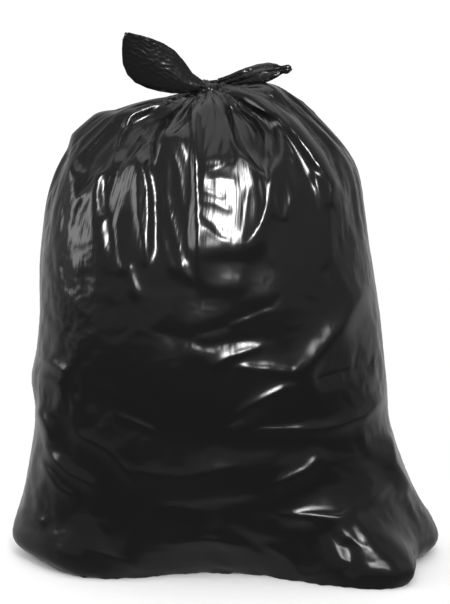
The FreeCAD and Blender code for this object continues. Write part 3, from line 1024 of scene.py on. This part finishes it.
@dataclass
class Knot:
    """The half knot: two bundles of film wound round each other under a band of film, in metres.

    Attributes:
        size: unit of the bundles' paths.
        strand: half thickness of a bundle.
        band_reach: from the knot's middle to the middle of the band.
        band: half thickness of the band.
        pleats: folds on the way round a bundle, with fold_depth and fold_edge as their shape.
        wind: how far the folds wind from end to end, in radians.
        around: points round a bundle.
        along: points along it, and loop_points along the band's own line.
        band_axis: the line that the band lies round.
        paths: points along the middle of each bundle.
    """

    centre: tuple = (-0.0275, 0.002, 0.676)
    size: float = 0.018
    strand: float = 0.0082
    band_reach: float = 0.0115
    band: float = 0.0075
    pleats: int = 9
    fold_depth: float = 0.28
    fold_edge: float = 0.7
    wind: float = 0.9
    around: int = 54
    along: int = 60
    loop_points: int = 24
    band_axis: tuple = (1.0, 0.35, 0.25)
    paths: tuple = (
        ((0.3, 0.2, -1.6), (0.5, -0.3, -0.6), (0.35, -0.85, 0.0), (-0.2, -0.85, 0.35), (-0.9, -0.6, 0.5)),
        ((-0.3, -0.2, -1.6), (-0.5, 0.3, -0.6), (-0.3, 0.8, 0.1), (0.2, 0.75, 0.45), (0.9, 0.4, 0.55)),
    )

    def pleated_ring(self, radius: float, phase: float) -> np.ndarray:
        """One ring of a bundle's folded film, as offsets across it."""
        turns = np.arange(self.around) * 2 * math.pi / self.around
        fold = 1.0 - self.fold_depth * np.abs(np.sin(self.pleats * turns / 2 + phase)) ** self.fold_edge
        return np.stack((radius * fold * np.cos(turns), radius * fold * np.sin(turns)), axis=1)

    def bundle(self, name: str, line: np.ndarray, radius: float, closed: bool) -> bpy.types.Object:
        """Makes one bundle along a line.

        Args:
            name: the piece's name.
            line: the points of its middle.
            radius: its half thickness.
            closed: whether it comes back to its start.

        Returns:
            The piece.
        """
        count = self.along
        if closed:
            middle = curve_through(line, np.arange(count) * len(line) / count, True)
            heading = np.roll(middle, -1, axis=0) - np.roll(middle, 1, axis=0)
        else:
            middle = curve_through(line, np.linspace(0, len(line) - 1, count), False)
            heading = np.gradient(middle, axis=0)
        heading /= np.linalg.norm(heading, axis=1, keepdims=True)
        side = np.cross(heading[0], (0.0, 0.3, 1.0))
        rings = []
        for k in range(count):
            side = side - heading[k] * (side @ heading[k])
            side /= np.linalg.norm(side)
            rise = np.cross(heading[k], side)
            flat = self.pleated_ring(radius, self.wind * k / count)
            rings.append(middle[k] + flat[:, :1] * side + flat[:, 1:] * rise)
        if closed:
            rings.append(rings[0])
        return closed_film(name, np.array(rings), not closed)

    def build(self) -> bpy.types.Object:
        """Makes the knot as one piece of wound bundles."""
        centre = np.array(self.centre)
        parts = []
        for k, path in enumerate(self.paths):
            line = centre + np.array(path) * self.size
            parts.append(self.bundle("knot_strand_%d" % k, line, self.strand, False))
        turns = np.arange(self.loop_points) * 2 * math.pi / self.loop_points
        tilt = Vector(self.band_axis).to_track_quat("Z", "Y")
        loop = [tilt @ Vector((math.cos(turn), math.sin(turn), 0.0)) * self.band_reach for turn in turns]
        parts.append(self.bundle("knot_band", centre + np.array(loop), self.band, True))
        shape = bmesh.new()
        for part in parts:
            shape.from_mesh(part.data)
            bpy.data.objects.remove(part)
        bmesh.ops.remove_doubles(shape, verts=shape.verts, dist=SAME_POINT / 10)
        return new_object("knot", shape)


LEFT_EAR = Ear(
    "left_ear", (-0.035, -0.012, 0.686), 20.5, 10.0, -1, 0.128, 0.064, 0.016,
    (
        (0.0, 0.1, 0.14, 0.4), (0.14, 0.18, 0.3, 0.46), (0.28, 0.36, 0.41, 0.5), (0.42, 0.5, 0.47, 0.5),
        (0.56, 0.56, 0.5, 0.45), (0.7, 0.57, 0.48, 0.38), (0.81, 0.56, 0.38, 0.3), (0.9, 0.54, 0.19, 0.22),
        (0.96, 0.53, -0.08, 0.18), (1.0, 0.5, -0.34, 0.14),
    ),
    gather=1.08, slack=1.02, twist=20.0, steps=30,
)
RIGHT_EAR = Ear(
    "right_ear", (-0.010, 0.008, 0.686), 12.5, 12.0, 1, 0.107, 0.032, 0.015,
    (
        (0.0, 0.22, 0.22, 0.4), (0.18, 0.3, 0.28, 0.46), (0.38, 0.46, 0.34, 0.5), (0.56, 0.57, 0.43, 0.45),
        (0.69, 0.56, 0.38, 0.37), (0.8, 0.42, 0.28, 0.28), (0.88, 0.24, 0.14, 0.22), (0.93, 0.26, 0.24, 0.28),
        (0.97, 0.25, 0.2, 0.26), (1.0, 0.12, 0.08, 0.12),
    ),
    gather=1.6, twist=50.0, folds=(3, 5, 7, 9), seed=5,
)


@dataclass(frozen=True)
class Softbox:
    """A flat soft lamp that looks at one point of the bag, in metres and watts."""

    name: str
    place: tuple
    aim: tuple
    wide: float
    high: float
    power: float
    spread: float = 180.0

    def build(self) -> None:
        """Makes the lamp."""
        data = bpy.data.lights.new(self.name, "AREA")
        data.shape = "ELLIPSE"
        data.size, data.size_y = self.wide, self.high
        data.energy = self.power
        data.spread = math.radians(self.spread)
        lamp = bpy.data.objects.new(self.name, data)
        lamp.location = self.place
        lamp.rotation_euler = (Vector(self.aim) - Vector(self.place)).to_track_quat("-Z", "Y").to_euler()
        bpy.context.scene.collection.objects.link(lamp)


@dataclass
class Studio:
    """A pale floor, a white background and soft lamps.

    Attributes:
        fade_start: distance from the bag's middle where the floor starts to turn white, in metres.
        fade_end: distance where it is white.
        front_glow: brightness of the floor's reflection in front of the bag, and back_glow behind it.
        glow_run: from where to where, front to back, it goes from one to the other.
        foot_glow: least brightness of the floor's reflection close to the foot, over foot_run.
        room_front: brightness of the room's reflection in front of the bag.
        room_run: from where to where the room goes from it to back_glow, as a direction's share to the back.
        room_glow: the even light that the room gives.
    """

    floor_size: float = 12.0
    floor_colour: tuple = (0.9, 0.9, 0.9, 1.0)
    fade_start: float = 0.24
    fade_end: float = 0.6
    front_glow: float = 0.12
    room_front: float = 0.27
    back_glow: float = 0.6
    foot_glow: float = 0.4
    room_glow: float = 1.05
    glow_run: tuple = (-0.45, 0.5)
    foot_run: tuple = (0.2, 0.3)
    room_run: tuple = (-0.2, 0.9)
    white: tuple = (1.0, 1.0, 1.0, 1.0)
    lamps: tuple = (
        Softbox("front_softbox", (0.18, -1.5, 1.42), (0.0, -0.16, 0.66), 0.38, 0.52, 1.4, 38.0),
        Softbox("front_halo", (0.30, -1.6, 1.50), (0.0, -0.16, 0.66), 0.85, 1.3, 1.7, 44.0),
        Softbox("left_softbox", (-2.0, -0.4, 1.1), (0.0, 0.0, 0.4), 0.7, 1.2, 9.0),
        Softbox("right_softbox", (2.0, -0.2, 1.0), (0.0, 0.0, 0.4), 0.7, 1.2, 0.4),
        Softbox("top_softbox", (0.0, 0.2, 2.6), (0.0, 0.0, 0.4), 2.0, 2.0, 8.0),
    )

    def floor(self) -> None:
        """The floor, which fades to white away from the bag."""
        shape = bmesh.new()
        bmesh.ops.create_grid(shape, x_segments=1, y_segments=1, size=self.floor_size / 2)
        piece = new_object("studio_floor", shape)
        material = bpy.data.materials.new("studio_floor")
        material.use_nodes = True
        nodes = Nodes(material.node_tree)
        place = nodes.add("TexCoord").outputs["Object"]
        away = nodes.add("VectorMath", {0: place}, operation="LENGTH").outputs["Value"]
        path = nodes.add("LightPath")
        camera = path.outputs["Is Camera Ray"]
        fade = nodes.passage(away, (self.fade_start, self.fade_end), (0.0, 1.0))
        plain = nodes.join("MAXIMUM", nodes.join("MULTIPLY", camera, fade), nodes.reflected_ray(path))
        back = nodes.add("SeparateXYZ", {"Vector": place}).outputs["Y"]
        behind = nodes.passage(back, self.glow_run, (self.front_glow, self.back_glow))
        close = nodes.passage(away, self.foot_run, (self.foot_glow, 0.0), "LINEAR")
        bright = nodes.join("MAXIMUM", nodes.join("MAXIMUM", camera, behind), close)
        surface = nodes.add("BsdfDiffuse", {"Color": self.floor_colour}).outputs["BSDF"]
        glow = nodes.add("Emission", {"Color": self.white, "Strength": bright}).outputs["Emission"]
        mixed = nodes.add("MixShader", {0: plain, 1: surface, 2: glow})
        nodes.add("OutputMaterial", {"Surface": mixed.outputs["Shader"]})
        piece.data.materials.append(material)

    def surroundings(self) -> None:
        """White behind the bag for the camera and for reflections, and a dim room in front of it."""
        world = bpy.data.worlds.new("studio")
        world.use_nodes = True
        bpy.context.scene.world = world
        nodes = Nodes(world.node_tree)
        way = nodes.add("TexCoord").outputs["Generated"]
        back = nodes.add("SeparateXYZ", {"Vector": way}).outputs["Y"]
        behind = nodes.passage(back, self.room_run, (self.room_front, self.back_glow))
        path = nodes.add("LightPath")
        sharp = nodes.reflected_ray(path)
        mirrored = nodes.join("MULTIPLY", sharp, behind)
        strength = nodes.join("MAXIMUM", path.outputs["Is Camera Ray"], mirrored)
        room = nodes.join("MULTIPLY", nodes.join("SUBTRACT", 1.0, sharp), self.room_glow)
        lit = nodes.join("MAXIMUM", strength, room)
        glow = nodes.add("Background", {"Color": self.white, "Strength": lit})
        nodes.add("OutputWorld", {"Surface": glow.outputs["Background"]})

    def build(self) -> None:
        """Makes the whole studio."""
        self.floor()
        self.surroundings()
        for lamp in self.lamps:
            lamp.build()


def main() -> None:
    """Builds the studio and the bag."""
    logging.basicConfig(level=logging.INFO, format="%(name)s: %(message)s")
    bpy.context.scene.view_settings.view_transform = "Standard"
    view = PhotoView()
    view.build()
    Studio().build()
    film = GLOSSY_FILM.build()
    body = BagFilm().build(Filling(), view)
    dress(body, film)
    log.info("bag film: %d faces", len(body.data.polygons))
    calm = SMOOTH_FILM.build()
    for made, finish in ((LEFT_EAR.build(), calm), (RIGHT_EAR.build(), film), (Knot().build(), calm)):
        dress(made, finish)
        log.info("%s: %d faces", made.name, len(made.data.polygons))


if __name__ == "__main__":
    main()
